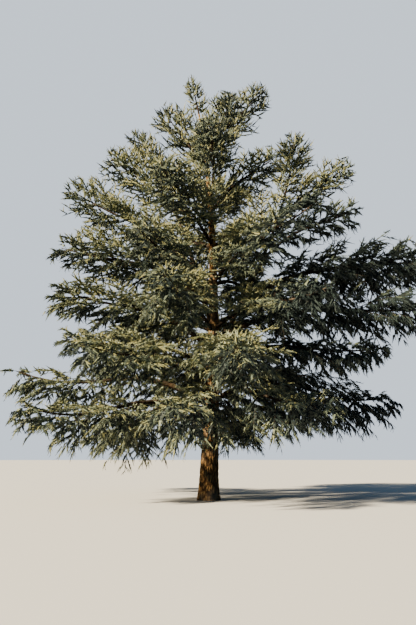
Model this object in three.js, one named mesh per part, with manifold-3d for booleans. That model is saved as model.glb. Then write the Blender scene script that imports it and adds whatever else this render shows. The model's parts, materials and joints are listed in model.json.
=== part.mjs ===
// A broad old blue cedar, 21 m tall: one trunk with two ascending leaders, tiers of long boughs,
// and masses of needle sprays. Millimetres and degrees, +Z up, with the origin in the middle of the
// flat cut at ground level. Azimuth 0 points right (+X), 90 back (+Y), 180 left, 270 to the front.
import * as THREE from "three";
import { mergeVertices } from "three/addons/utils/BufferGeometryUtils.js";
import Module from "manifold-3d";

const wasm = await Module();
wasm.setup();

// Trunk
const TREE_HEIGHT = 21000; // where the trunk's taper would reach nothing
const TRUNK_TIP = 18700; // the solid trunk ends here and the top mass goes on
const TRUNK_RADIUS = 410; // at ground level, without the flare
const TIP_RADIUS = 28;
const TAPER_POWER = 1.3;
const LEAN = 0.0436; // sideways travel for each unit of height, at the ground
const UPRIGHT_AGAIN = 14900; // height where the trunk is over its foot again
const TRUNK_BOW = 130; // how far the middle of the trunk stands back
const FLARE = 75; // extra radius of the root flare at the ground
const FLARE_HEIGHT = 420;
const FLARE_LOBES = 5;
const FLARE_LOBE_DEPTH = 0.45;
const TRUNK_SIDES = 12;
const TRUNK_RINGS = 14;
const RING_CROWDING = 1.5; // over 1 the rings stand closer near the ground

// Boughs
const GAP = 0.3; // clearance between pieces that meet
const ROOT_RADIUS_BASE = 22; // a bough's radius at its root, with the share of its length below
const ROOT_RADIUS_SHARE = 0.0125;
const LEADER_ROOT_RADIUS = 125;
const BOUGH_TIP_RADIUS = 9;
const BOUGH_TAPER_POWER = 0.85;
const BOUGH_SIDES = 6;
const BOUGH_RINGS = 4;
const BOW_SHARE = 0.05; // sideways bow of a bough, as a share of its length

// Foliage
const BARE_SHARE = 0.24; // bare part of a bough, unless its row below gives its limb another
const WIDTH_BASE = 1100; // half the width of a mass, with the share of its leafy length below
const WIDTH_SHARE = 0.19;
const HEIGHT_BASE = 1050; // half the height of a mass, in the same way
const HEIGHT_SHARE = 0.12;
const TOP_MASS_SIZE = 620; // half the width and height of the mass on the trunk's tip
const TOP_MASS_RISE = 2450; // its length
const GIRTH = { start: 0.17, span: 0.77, power: 0.9 }; // how a mass swells and narrows along its stem
const STEM_SIDES = 4;
const STEM_RINGS = 4;
const STEM_END = 0.94; // where the solid stem stops inside the tip spray, as a share of the bough
const TWIG_SPACING = 1000; // of the coarse twigs that the solids have, along the stem
const FEWEST_TWIGS = 4;
const MOST_TWIGS = 6;
const BARE_TWIG_EVERY = 3; // one twig in so many shows its wood between the core and its spray
const BARE_TWIG_END = 0.5; // where that wood ends, as a share of the twig
const BARE_TWIG_SPRAY = 0.7; // where on that wood its spray is rooted
const FORWARD_ANGLE = 52; // between a stem and its twigs
const TURN_PER_TWIG = 137.5; // twigs stand round the stem by the golden angle
const TURN_SPREAD = 50; // most that a twig turns on from there
const TWIG_PLACE = { first: 0.35, spread: 0.3 }; // where it stands in its share of the stem
const LAST_PLACE = 0.97; // no twig takes its directions from nearer the stem's end
const TWIG_REACH = 0.95; // of the mass's space
const TWIG_DROOP = 0.14; // fall of a twig's tip for each unit of its length
const ANGLE_VARIES = 0.2; // how far twigs differ, as shares of each value
const REACH_VARIES = 0.1;
const DROOP_VARIES = 0.5;
const TWIG_RADIUS = 26;
const SPRAY_RIM = [
  // one side of a spray's outline, in shares of its length and half width: root, teeth, point
  [0, 0],
  [0.42, 1],
  [0.5, 0.5],
  [0.78, 0.72],
  [1, 0],
];
const SPRAY_MIDDLE = 0.45; // its thickest place along its length
const SPRAY_WIDTH = 0.8; // of its length
const SPRAY_THICKNESS = 0.12;
const SPRAY_ROLL = 60; // most that a spray is rolled out of the level
const SPRAY_DROOP = 0.6; // of its twig's
const TIP_SPRAY = { share: 0.34, shortest: 900, longest: 1700, sunk: 0.88 }; // of the leafy length
const SHORTER = [1, 0.8, 0.62]; // what a spray tries before it is left out
const CORE_LENGTH = 0.86; // size of the inner core, as a share of the mass
const CORE_WIDTH = 0.64;
const CORE_SIDES = 8;
const CORE_RINGS = 4;
const CORE_RIDGES = 0.38; // how far every other corner stands out, and the rest in
const CORE_ROUGHNESS = 0.18;
const CORE_TRIES = 8; // steps in which a corner draws back out of a neighbour's space
const SPACE_REACH = 1.15; // sprays may stand so far out, in half widths of their mass
const SPACE_MARGIN = 0.035; // share of its half width that a mass keeps clear of its neighbours
const LIMB_MARGIN = 22; // sprays and twigs stay this far from every limb
const STEM_CHORDS = 8; // straight lines that stand for a stem, a limb or the trunk in distances
const LIMB_CHORDS = 12;
const TRUNK_CHORDS = 40;

// Looks
const BARK = { color: 0x6e5a49, roughness: 0.95, metalness: 0 };
const NEEDLES = { color: 0x7f8c78, roughness: 0.8, metalness: 0 };

// The leaders, which rise beside the trunk. spread over 1 goes out first and then up, under 1 up first.
const LEADERS = [
  { side: "left", azimuth: 179, reach: 4150, tip: 17500, root: 6900, spread: 0.62, limb: 0.7, full: 0.8 },
  { side: "right", azimuth: 6, reach: 4500, tip: 17800, root: 5900, spread: 1.6, limb: 0.72, full: 0.9 },
];

// The boughs, tier by tier from the ground up. Each row: side, azimuth, reach and height of the tip,
// height of the root, the share of its length that is a limb of its own (0 where its mass's stem goes
// right back to the trunk), how full its mass is, and the leader that it grows from, if any.
// arch lifts the middle of a bough, wave its root half, flat thins its mass, and hang is how far the
// mass hangs below its stem, in half heights.
const TIERS = [
  {
    tier: "low",
    arch: 250,
    wave: 380,
    flat: 0.66,
    hang: 0.45,
    boughs: [
      ["left", 183, 8400, 5200, 3700, 0.3, 0.9],
      ["left_front", 206, 7600, 3400, 3150, 0.3, 1],
      ["front", 256, 6000, 3200, 3600, 0.22, 1.05],
      ["front_right", 315, 6100, 3600, 3700, 0.22, 1.05],
      ["right_back", 21, 10000, 4500, 4600, 0.3, 1.1],
      ["back", 76, 7800, 3500, 3850, 0, 1.1],
      ["left_back", 136, 8200, 2900, 3450, 0, 1.1],
    ],
  },
  {
    tier: "second",
    arch: 420,
    wave: 260,
    flat: 0.9,
    hang: 0.25,
    boughs: [
      ["left", 171, 6750, 7000, 5100, 0.26, 1.1],
      ["front_left", 224, 6200, 5400, 4750, 0, 1.05],
      ["front", 279, 5900, 4900, 5000, 0, 1.1],
      ["right", 350, 7600, 5900, 5300, 0.3, 0.65],
      ["right_back", 50, 7700, 6000, 4900, 0, 1],
      ["left_back", 112, 7500, 5700, 5250, 0, 1],
    ],
  },
  {
    tier: "third",
    arch: 380,
    wave: 200,
    hang: 0.2,
    boughs: [
      ["left", 185, 6900, 8800, 6150, 0.26, 1.1],
      ["front", 252, 5200, 7800, 6900, 0, 1.1],
      ["front_right", 318, 6100, 7600, 7100, 0, 1.05],
      ["right", 354, 10000, 7700, 6900, 0.3, 0.85, "right"],
      ["back", 78, 7500, 8400, 6700, 0, 1],
      ["left_back", 136, 7600, 8300, 7000, 0, 1],
    ],
  },
  {
    tier: "fourth",
    arch: 320,
    wave: 180,
    hang: 0.1,
    boughs: [
      ["left", 187, 6900, 10700, 8600, 0.3, 1.1, "left"],
      ["front_left", 235, 4900, 10100, 8900, 0, 1.1],
      ["front_right", 302, 5000, 10300, 9300, 0, 1.15],
      ["right", 3, 10500, 10700, 8600, 0.3, 0.95, "right"],
      ["back", 56, 7200, 10800, 9200, 0, 1],
      ["left_back", 118, 7000, 11000, 9000, 0, 1],
    ],
  },
  {
    tier: "fifth",
    arch: 220,
    wave: 160,
    boughs: [
      ["left", 180, 6800, 14200, 9900, 0.3, 0.95, "left"],
      ["front", 245, 4500, 12900, 11200, 0, 1.1],
      ["front_right", 328, 5700, 12000, 10100, 0, 1],
      ["right", 352, 7000, 12700, 10400, 0.3, 0.8, "right"],
      ["back", 78, 6100, 13600, 11400, 0, 1],
      ["left_back", 136, 6200, 13300, 11100, 0, 1],
    ],
  },
  {
    tier: "sixth",
    arch: 150,
    wave: 100,
    boughs: [
      ["left", 184, 5000, 15900, 12600, 0, 0.9, "left"],
      ["right", 4, 7300, 16000, 12400, 0, 0.65, "right"],
      ["front", 270, 3700, 15400, 13300, 0, 1],
      ["front_right", 333, 3700, 15000, 13000, 0, 0.95],
      ["back", 70, 5000, 16300, 13900, 0, 1],
    ],
  },
  {
    tier: "top",
    arch: 60,
    wave: 50,
    boughs: [
      ["right", 356, 3050, 20200, 16600, 0, 0.85],
      ["left", 188, 2400, 18800, 15400, 0, 1],
      ["front", 300, 2300, 18300, 16000, 0, 0.95],
      ["back", 96, 2700, 18900, 15900, 0, 0.9],
    ],
  },
];

const radians = THREE.MathUtils.degToRad;
const UP = new THREE.Vector3(0, 0, 1);
const leftRim = SPRAY_RIM.slice(1, -1).reverse();
const sprayOutline = [...SPRAY_RIM, ...leftRim.map(([t, aside]) => [t, -aside])];

// A number from 0 to 1 that depends only on its three whole numbers, so each twig keeps its own draw.
const DRAW_KEYS = [374761393, 668265263, 1274126177];
const DRAW_MIXERS = [2246822519, 3266489917];
function draw(...key) {
  let h = key.reduce((sum, value, i) => sum ^ Math.imul(value + 1, DRAW_KEYS[i]), 0);
  h = Math.imul(h ^ (h >>> 15), DRAW_MIXERS[0]);
  h = Math.imul(h ^ (h >>> 13), DRAW_MIXERS[1]);
  return ((h ^ (h >>> 16)) >>> 0) / 2 ** 32;
}
const vary = (value, share, ...key) => value * (1 + share * (2 * draw(...key) - 1));

// A three.js geometry as a solid that can be joined and cut, and back again.
function solidOf(geometry) {
  const bare = new THREE.BufferGeometry().setAttribute("position", geometry.getAttribute("position"));
  const merged = mergeVertices(bare.setIndex(geometry.getIndex()), 1e-3);
  const { array } = merged.getAttribute("position");
  const triVerts = new Uint32Array(merged.getIndex().array);
  return new wasm.Manifold(new wasm.Mesh({ numProp: 3, vertProperties: array, triVerts }));
}

function geometryOf(solid) {
  const { vertProperties, triVerts } = solid.getMesh();
  const geometry = new THREE.BufferGeometry()
    .setAttribute("position", new THREE.BufferAttribute(vertProperties, 3))
    .setIndex(new THREE.BufferAttribute(triVerts, 1));
  geometry.computeVertexNormals();
  return geometry;
}

const largest = (solid) => solid.decompose().sort((a, b) => b.volume() - a.volume())[0];

// Trunk: a cylinder whose rings stay level and take the taper, the lean and the flare.
const trunkCentre = (z) =>
  new THREE.Vector3(
    LEAN * z * (1 - (z / UPRIGHT_AGAIN) ** 2),
    TRUNK_BOW * Math.sin((Math.PI * z) / TREE_HEIGHT),
    z,
  );
function trunkRadius(z) {
  const share = z / TREE_HEIGHT;
  return TRUNK_RADIUS * (1 - share) ** TAPER_POWER + TIP_RADIUS * share;
}

function trunkGeometry(grow) {
  const geometry = new THREE.CylinderGeometry(1, 1, 1, TRUNK_SIDES, TRUNK_RINGS);
  const position = geometry.getAttribute("position");
  for (let i = 0; i < position.count; i++) {
    const z = (TRUNK_TIP + grow) * (position.getY(i) + 0.5) ** RING_CROWDING;
    const angle = Math.atan2(position.getZ(i), position.getX(i));
    const out = Math.hypot(position.getX(i), position.getZ(i));
    const lobes = 1 + FLARE_LOBE_DEPTH * Math.cos(FLARE_LOBES * angle);
    const radius = trunkRadius(z) + FLARE * lobes * Math.exp(-z / FLARE_HEIGHT) + grow;
    const centre = trunkCentre(z);
    position.setXYZ(
      i,
      centre.x + out * radius * Math.cos(angle),
      centre.y - out * radius * Math.sin(angle),
      z,
    );
  }
  return geometry;
}

// A tapering tube along a line: a cylinder bent so that each ring stands across the line.
// at(t) gives the line's point and radius(t) its radius, for t from 0 to 1.
function tube(at, radius, sides, rings, from, to) {
  const geometry = new THREE.CylinderGeometry(1, 1, 1, sides, rings);
  const position = geometry.getAttribute("position");
  for (let i = 0; i < position.count; i++) {
    const t = from + (to - from) * (position.getY(i) + 0.5);
    const angle = Math.atan2(position.getZ(i), position.getX(i));
    const out = Math.hypot(position.getX(i), position.getZ(i)) > 1e-6 ? radius(t) : 0;
    const { across, over } = crossing(at, t);
    const point = at(t)
      .addScaledVector(across, out * Math.cos(angle))
      .addScaledVector(over, out * Math.sin(angle));
    position.setXYZ(i, point.x, point.y, point.z);
  }
  return geometry;
}

// The directions along a line, across it and over it: across is level unless they are rolled.
function crossing(at, t, roll = 0) {
  const step = 1e-3;
  const along = at(t + step).sub(at(t - step)).normalize();
  const across = new THREE.Vector3().crossVectors(along, UP).normalize();
  if (roll) across.applyAxisAngle(along, roll);
  const over = new THREE.Vector3().crossVectors(across, along);
  return { along, across, over };
}

// A bough's line from its root on the trunk or a leader to the tip of its mass.
function boughLine({ azimuth, reach, tip, root, parent, spread, arch, wave, bowSign }) {
  const aim = radians(azimuth);
  const start = parent ? pointAtHeight(parent.line, root) : trunkCentre(root);
  const out = new THREE.Vector3(reach * Math.cos(aim), reach * Math.sin(aim), 0).sub(start).setZ(0);
  const aside = new THREE.Vector3(-out.y, out.x, 0).multiplyScalar(BOW_SHARE * bowSign);
  return (t) => {
    const share = 1 - Math.sign(1 - t) * Math.abs(1 - t) ** spread;
    const rise = (tip - root) * t + arch * 4 * t * (1 - t) + wave * Math.sin(2 * Math.PI * t);
    return start
      .clone()
      .addScaledVector(out, share)
      .addScaledVector(aside, Math.sin(Math.PI * t))
      .addScaledVector(UP, rise);
  };
}

// The point of a rising line at a height, by halving.
function pointAtHeight(line, height) {
  let low = 0;
  let high = 1;
  for (let i = 0; i < 30; i++) {
    const middle = (low + high) / 2;
    if (line(middle).z < height) low = middle;
    else high = middle;
  }
  return line(low);
}

// The points of a line at even steps.
const pointsAlong = (line, parts, from = 0, to = 1) =>
  Array.from({ length: parts + 1 }, (_, i) => line(from + ((to - from) * i) / parts));

// A bough with its mass: its line runs from t = 0 at the root to t = 1 at the mass's tip, is a limb of
// its own up to start, and is leafy from leafStart, which its stem counts as s = 0.
function makeBough(named, index) {
  const even = { arch: 0, wave: 0, flat: 1, hang: 0, full: 1, spread: 1 };
  const bough = { ...even, bowSign: index % 2 ? -1 : 1, ...named };
  const line = boughLine(bough);
  const length = line(0).distanceTo(line(1));
  const leafStart = bough.limb || BARE_SHARE;
  const leafLength = Math.min(length, bough.reach) * (1 - leafStart);
  const rootRadius = bough.rootRadius ?? ROOT_RADIUS_BASE + ROOT_RADIUS_SHARE * length;
  const taper = (t) => Math.max(0, 1 - t) ** BOUGH_TAPER_POWER;
  return withStem({
    ...bough,
    line,
    length,
    start: bough.limb,
    leafStart,
    radius: (t) => BOUGH_TIP_RADIUS + (rootRadius - BOUGH_TIP_RADIUS) * taper(t),
    halfWidth: bough.full * (WIDTH_BASE + WIDTH_SHARE * leafLength),
    halfHeight: bough.full * bough.flat * (HEIGHT_BASE + HEIGHT_SHARE * leafLength),
  });
}

function withStem(mass) {
  const stem = (s) => mass.line(mass.leafStart + (1 - mass.leafStart) * s);
  const girth = (s) => Math.sin(Math.PI * (GIRTH.start + GIRTH.span * s)) ** GIRTH.power;
  const middle = (s) => stem(s).addScaledVector(UP, -mass.hang * mass.halfHeight * girth(s));
  return { ...mass, stem, girth, middle, chords: pointsAlong(middle, STEM_CHORDS) };
}

const leaders = LEADERS.map((leader, i) =>
  makeBough({ ...leader, name: `leader_${leader.side}`, rootRadius: LEADER_ROOT_RADIUS }, i),
);
const boughs = TIERS.flatMap(({ tier, boughs: rows, ...shape }) =>
  rows.map(([side, azimuth, reach, tip, root, limb, full, leaderSide], i) => {
    const parent = leaders.find((leader) => leader.side === leaderSide);
    const name = `${tier}_${side}`;
    return makeBough({ name, azimuth, reach, tip, root, limb, full, parent, ...shape }, i);
  }),
);

// The trunk's own last stretch, above its solid tip, carries the top mass.
const trunkEnd = trunkCentre(TRUNK_TIP);
const topShoot = withStem({
  name: "top_shoot",
  onTrunkTip: true,
  start: 0,
  leafStart: 0,
  hang: 0,
  line: (t) => trunkEnd.clone().lerp(trunkCentre(TRUNK_TIP + TOP_MASS_RISE), t),
  length: TOP_MASS_RISE,
  radius: (t) => trunkRadius(TRUNK_TIP) * (1 - t) + BOUGH_TIP_RADIUS * t,
  halfWidth: TOP_MASS_SIZE,
  halfHeight: TOP_MASS_SIZE,
});
const masses = [...leaders, ...boughs, topShoot];

// The least distance from a point to a row of points joined by chords, less the row's radius there.
function distanceToRow(row, point, radiusAt = () => 0) {
  let least = Infinity;
  for (let i = 0; i + 1 < row.length; i++) {
    const chord = row[i + 1].clone().sub(row[i]);
    const share = point.clone().sub(row[i]).dot(chord) / chord.lengthSq();
    const nearest = row[i].clone().addScaledVector(chord, THREE.MathUtils.clamp(share, 0, 1));
    least = Math.min(least, nearest.distanceTo(point) - radiusAt(i));
  }
  return least;
}

// How far out of its space a point lies, in half widths of the mass, with height on its own scale.
function outness({ chords, halfWidth, halfHeight }, point) {
  const flatten = new THREE.Vector3(1, 1, halfWidth / halfHeight);
  const row = chords.map((corner) => corner.clone().multiply(flatten));
  return distanceToRow(row, point.clone().multiply(flatten)) / halfWidth;
}

function inOwnSpace(mass, points) {
  return points.every((point) => {
    const own = outness(mass, point);
    const others = masses.filter((other) => other !== mass);
    return own < SPACE_REACH && others.every((other) => outness(other, point) > own + SPACE_MARGIN);
  });
}

// The trunk and the limbs as rows of points with radii, for keeping sprays clear of them.
const limbRows = [
  {
    row: pointsAlong(trunkCentre, TRUNK_CHORDS, 0, TRUNK_TIP),
    radiusAt: (i) => trunkRadius((TRUNK_TIP * i) / TRUNK_CHORDS),
  },
  ...[...leaders, ...boughs].map(({ line, leafStart, radius }) => ({
    row: pointsAlong(line, LIMB_CHORDS, 0, leafStart),
    radiusAt: (i) => radius((leafStart * i) / LIMB_CHORDS),
  })),
];
const clearOfLimbs = (points, thickness) =>
  limbRows.every(({ row, radiusAt }) =>
    points.every((point) => distanceToRow(row, point, radiusAt) > thickness + LIMB_MARGIN),
  );

// A bending shoot: it sets off along a direction and its tip falls.
function shoot(start, direction, length, droop) {
  return (t) =>
    start
      .clone()
      .addScaledVector(direction, length * t)
      .addScaledVector(UP, -droop * length * t * t);
}

// The seeded rule: twig number k of a mass, counted from its root, out of so many.
function twigOf(mass, index, k, count) {
  const s = (k + TWIG_PLACE.first + TWIG_PLACE.spread * draw(index, k, 0)) / count;
  const { along, across, over } = crossing(mass.stem, Math.min(s, LAST_PLACE));
  const turn = radians(TURN_PER_TWIG * k + TURN_SPREAD * draw(index, k, 1));
  const forward = radians(vary(FORWARD_ANGLE, ANGLE_VARIES, index, k, 2));
  const direction = along
    .multiplyScalar(Math.cos(forward))
    .addScaledVector(across, Math.sin(forward) * Math.cos(turn))
    .addScaledVector(over, Math.sin(forward) * Math.sin(turn));
  const height = mass.halfHeight * (1 - mass.hang * Math.sign(Math.sin(turn)));
  const room = 1 / Math.hypot(Math.cos(turn) / mass.halfWidth, Math.sin(turn) / height);
  const reach = vary(TWIG_REACH, REACH_VARIES, index, k, 3) * room * mass.girth(s);
  const droop = vary(TWIG_DROOP, DROOP_VARIES, index, k, 4);
  return { s, direction, length: reach / Math.sin(forward), droop };
}

// The point beside s on the stem's solid, which runs straight from ring to ring.
function onStem(mass, s) {
  const t = Math.min(mass.leafStart + (1 - mass.leafStart) * s, STEM_END);
  const place = (STEM_RINGS * (t - mass.start)) / (STEM_END - mass.start);
  const ring = Math.min(Math.floor(place), STEM_RINGS - 1);
  const points = pointsAlong(mass.line, STEM_RINGS, mass.start, STEM_END);
  return points[ring].lerp(points[ring + 1], place - ring);
}

// A spray: a sphere of two rows whose rim is pushed out to a toothed blade.
function sprayGeometry(spray) {
  const { at, length, roll } = spray;
  const geometry = new THREE.SphereGeometry(1, sprayOutline.length, 2);
  const position = geometry.getAttribute("position");
  for (let i = 0; i < position.count; i++) {
    const high = position.getY(i);
    const turn = Math.atan2(position.getZ(i), -position.getX(i)) / (2 * Math.PI) + 1;
    const corner = sprayOutline[Math.round(turn * sprayOutline.length) % sprayOutline.length];
    const onRim = Math.abs(high) < 0.5;
    const t = onRim ? corner[0] : SPRAY_MIDDLE;
    const { across, over } = crossing(at, t, roll);
    const point = at(t)
      .addScaledVector(across, onRim ? (corner[1] * SPRAY_WIDTH * length) / 2 : 0)
      .addScaledVector(over, onRim ? 0 : (Math.sign(high) * SPRAY_THICKNESS * length) / 2);
    position.setXYZ(i, point.x, point.y, point.z);
  }
  return geometry;
}

const sprayPoints = ({ at, length, roll }) =>
  sprayOutline.map(([t, aside]) => {
    const { across } = crossing(at, t, roll);
    return at(t).addScaledVector(across, (aside * SPRAY_WIDTH * length) / 2);
  });

// A ridged, rough sphere stretched along the stem, its corners drawn back into the mass's own space.
function coreGeometry(mass, index, size) {
  const geometry = new THREE.SphereGeometry(1, CORE_SIDES, CORE_RINGS);
  const position = geometry.getAttribute("position");
  const allowed = (point) => inOwnSpace(mass, [point]) && clearOfLimbs([point], 0);
  for (let i = 0; i < position.count; i++) {
    const [x, level, z] = [position.getX(i), position.getY(i), position.getZ(i)];
    const ring = Math.round((Math.acos(level) / Math.PI) * CORE_RINGS);
    const column = Math.round((Math.atan2(z, x) / (2 * Math.PI) + 1) * CORE_SIDES) % CORE_SIDES;
    const s = 0.5 + 0.5 * CORE_LENGTH * level;
    const { across, over } = crossing(mass.stem, s);
    const ridge = 1 + CORE_RIDGES * ((column + ring) % 2 ? 1 : -1);
    const out = size * CORE_WIDTH * ridge * vary(1, CORE_ROUGHNESS, index, column, 7 + ring);
    const corner = across
      .multiplyScalar(out * mass.halfWidth * x)
      .addScaledVector(over, out * mass.halfHeight * z);
    const inwards = (share) => mass.middle(s).addScaledVector(corner, share);
    const tries = pointsAlong(inwards, CORE_TRIES, 1, 0);
    const point = tries.find(allowed) ?? tries.at(-2);
    position.setXYZ(i, point.x, point.y, point.z);
  }
  return geometry;
}

// A mass: its stem, a core, the coarse twigs and their sprays, fused into one solid.
// clashes tells whether a piece cuts into another node.
function massSolid(mass, index, clashes) {
  const meetsLimb = mass.start > 0 || mass.onTrunkTip;
  const from = mass.start + (meetsLimb ? GAP / mass.length : 0);
  const pieces = [solidOf(tube(mass.line, mass.radius, STEM_SIDES, STEM_RINGS, from, STEM_END))];
  const cores = SHORTER.map((size) => solidOf(coreGeometry(mass, index, size)));
  pieces.push(...cores.filter((core) => !clashes(core)).slice(0, 1));

  function addSpray(root, tip, droop, key) {
    const toTip = tip.clone().sub(root);
    const roll = radians(SPRAY_ROLL * (2 * draw(index, key, 6) - 1));
    for (const share of SHORTER) {
      const length = toTip.length() * share;
      const at = shoot(root, toTip.clone().normalize(), length, droop);
      const points = sprayPoints({ at, length, roll }).slice(1);
      if (!inOwnSpace(mass, points)) continue;
      if (!clearOfLimbs(points, (SPRAY_THICKNESS * length) / 2)) continue;
      const spray = solidOf(sprayGeometry({ at, length, roll }));
      if (clashes(spray)) continue;
      pieces.push(spray);
      return true;
    }
    return false;
  }

  const leafLength = mass.length * (1 - mass.leafStart);
  const wanted = Math.round(leafLength / TWIG_SPACING);
  const count = THREE.MathUtils.clamp(wanted, FEWEST_TWIGS, MOST_TWIGS);
  for (let k = 0; k < count; k++) {
    const { s, direction, length, droop } = twigOf(mass, index, k, count);
    const at = shoot(onStem(mass, s), direction, length, droop);
    const bare = k % BARE_TWIG_EVERY === 0;
    const root = bare ? at(0).lerp(at(BARE_TWIG_END), BARE_TWIG_SPRAY) : at(0);
    const added = addSpray(root, at(1), SPRAY_DROOP * droop, k);
    const wood = (t) => TWIG_RADIUS * (1 - t);
    if (added && bare) pieces.push(solidOf(tube(at, wood, 3, 1, 0, BARE_TWIG_END)));
  }
  const { share, shortest, longest, sunk } = TIP_SPRAY;
  const last = THREE.MathUtils.clamp(share * leafLength, shortest, longest);
  addSpray(onStem(mass, 1 - (sunk * last) / leafLength), mass.stem(1), 0, count);
  return pieces.reduce((fused, piece) => fused.add(piece));
}

const tree = new THREE.Group();
const made = []; // every node's solid, for the clash test

function addNode(name, solid, look) {
  const mesh = new THREE.Mesh(geometryOf(solid), new THREE.MeshStandardMaterial(look));
  mesh.name = name;
  tree.add(mesh);
  made.push(solid);
}

const limbSolid = (mass, grow) =>
  solidOf(tube(mass.line, (t) => mass.radius(t) + grow, BOUGH_SIDES, BOUGH_RINGS, 0, mass.start));
const trunkSpace = solidOf(trunkGeometry(GAP));
const leaderSpaces = new Map(leaders.map((leader) => [leader, limbSolid(leader, GAP)]));

function cutClear(mass, solid) {
  const offTrunk = solid.subtract(trunkSpace);
  return largest(mass.parent ? offTrunk.subtract(leaderSpaces.get(mass.parent)) : offTrunk);
}

addNode("trunk", solidOf(trunkGeometry(0)), BARK);
for (const mass of [...leaders, ...boughs].filter(({ start }) => start > 0)) {
  const name = leaders.includes(mass) ? mass.name : `bough_${mass.name}`;
  addNode(name, cutClear(mass, limbSolid(mass, 0)), BARK);
}
masses.forEach((mass, index) => {
  const clashes = (solid) => made.some((other) => solid.intersect(other).volume() > 0);
  addNode(`foliage_${mass.name}`, cutClear(mass, massSolid(mass, index, clashes)), NEEDLES);
});

export default tree;
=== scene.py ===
import json
import math

import bpy
import numpy as np
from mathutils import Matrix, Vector, noise

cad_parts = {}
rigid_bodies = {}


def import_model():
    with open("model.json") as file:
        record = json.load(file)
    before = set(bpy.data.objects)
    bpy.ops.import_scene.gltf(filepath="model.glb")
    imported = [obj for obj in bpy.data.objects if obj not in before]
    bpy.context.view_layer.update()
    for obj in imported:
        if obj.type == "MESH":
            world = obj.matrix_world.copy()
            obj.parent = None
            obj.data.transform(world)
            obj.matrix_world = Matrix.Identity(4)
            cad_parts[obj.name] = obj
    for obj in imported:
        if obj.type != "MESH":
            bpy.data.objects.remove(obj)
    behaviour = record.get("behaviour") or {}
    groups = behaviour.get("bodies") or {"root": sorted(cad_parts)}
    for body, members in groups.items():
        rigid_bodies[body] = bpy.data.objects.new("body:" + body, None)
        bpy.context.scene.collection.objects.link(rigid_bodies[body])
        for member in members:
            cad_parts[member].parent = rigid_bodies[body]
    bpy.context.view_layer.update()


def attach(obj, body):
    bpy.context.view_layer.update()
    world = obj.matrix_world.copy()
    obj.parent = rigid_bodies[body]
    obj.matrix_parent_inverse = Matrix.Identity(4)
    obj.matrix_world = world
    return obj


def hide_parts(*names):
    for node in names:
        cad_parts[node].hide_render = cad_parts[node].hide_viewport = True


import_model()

# Trunk
TREE_HEIGHT = 21.0  # where the trunk's taper would reach nothing
TRUNK_TIP = 18.7  # the solid trunk ends here and the top mass goes on
TRUNK_RADIUS = 0.41  # at ground level, without the flare
TIP_RADIUS = 0.028
TAPER_POWER = 1.3
LEAN = 0.0436  # sideways travel for each unit of height, at the ground
UPRIGHT_AGAIN = 14.9  # height where the trunk is over its foot again
TRUNK_BOW = 0.13  # how far the middle of the trunk stands back
FLARE = 0.075  # extra radius of the root flare at the ground
FLARE_HEIGHT = 0.42
FLARE_LOBES = 5
FLARE_LOBE_DEPTH = 0.45
TRUNK_SIDES = 132
TRUNK_RINGS = 420
RING_CROWDING = 1.5  # over 1 the rings stand closer near the ground
TRUNK_RELIEF = dict(size=0.1, depth=0.022)  # width of the bark's plates and depth of its furrows

# Boughs
ROOT_RADIUS = dict(base=0.022, share=0.0125)  # of a bough, with the share of its length
LEADER_ROOT_RADIUS = 0.125
BOUGH_TIP_RADIUS = 0.009
BOUGH_TAPER_POWER = 0.85
BOW_SHARE = 0.05  # sideways bow of a bough, as a share of its length
BOUGH_SIDES = 22
BOUGH_RINGS_PER_METRE = 22
COLLAR = 0.5  # extra girth where a bough leaves the trunk, as a share of its radius
COLLAR_LENGTH = 0.16
BOUGH_RELIEF = dict(size=0.045, depth=0.008)
LIMB_OVERLAP = 0.01  # how far a limb's bark runs on into its mass, as a share of the bough
HALVINGS = 30  # steps in which a height's place on a leader is found

# Foliage masses
BARE_SHARE = 0.24  # bare part of a bough, unless its row below gives its limb another
HALF_WIDTH = dict(base=1.1, share=0.19)  # of a mass, with the share of its leafy length
HALF_HEIGHT = dict(base=1.05, share=0.12)
TOP_MASS_SIZE = 0.62  # half the width and height of the mass on the trunk's tip
TOP_MASS_RISE = 2.45  # its length
GIRTH = dict(start=0.17, span=0.77, power=0.9)  # how a mass swells and narrows along its stem
STEM_END = 0.97  # where the stem's wood ends, as a share of the bough
TWIG_SPACING = 1.0  # of the coarse twigs that the solids have, along the stem
FEWEST_TWIGS = 4
MOST_TWIGS = 6
FORWARD_ANGLE = 52  # between a stem and its twigs
TURN_PER_TWIG = 137.5  # twigs stand round the stem by the golden angle
TURN_SPREAD = 50  # most that a twig turns on from there
TWIG_PLACE = dict(first=0.35, spread=0.3)  # where it stands in its share of the stem
LAST_PLACE = 0.97  # no twig takes its directions from nearer the stem's end
TWIG_REACH = 0.95  # of the mass's space
TWIG_DROOP = 0.14  # fall of a twig's tip for each unit of its length
ANGLE_VARIES = 0.2  # how far twigs differ, as shares of each value
FINE_ANGLE_VARIES = 0.45  # and how far the finer growth does
REACH_VARIES = 0.1
DROOP_VARIES = 0.5
SPACE_REACH = 1.1  # twigs and shoots end at most so far out, in half widths of their mass
SPACE_VARIES = 0.46  # share of that by which some end nearer in
POINTED = dict(start=0.48, tip=0.38, power=1.5)  # where along its stem a mass narrows, to what share
INNER_REACH = 1.25  # so many times that in a mass's inner half, between its neighbours
TIP_ROOM = 0.02  # how far growth may pass the tip and the root of the leafy stem
ROOT_ROOM = 1.5
SPACE_MARGIN = 0.02  # share of its half width that a mass keeps clear of its neighbours
LIMB_MARGIN = 0.02  # shoots and twigs stay this far from every limb
LIMB_SEARCH = 1  # limbs farther off than this are passed over
STEM_CHORDS = 8  # straight lines that stand for a stem, a limb or the trunk in distances
LIMB_CHORDS = 12
TRUNK_CHORDS = 40

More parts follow.
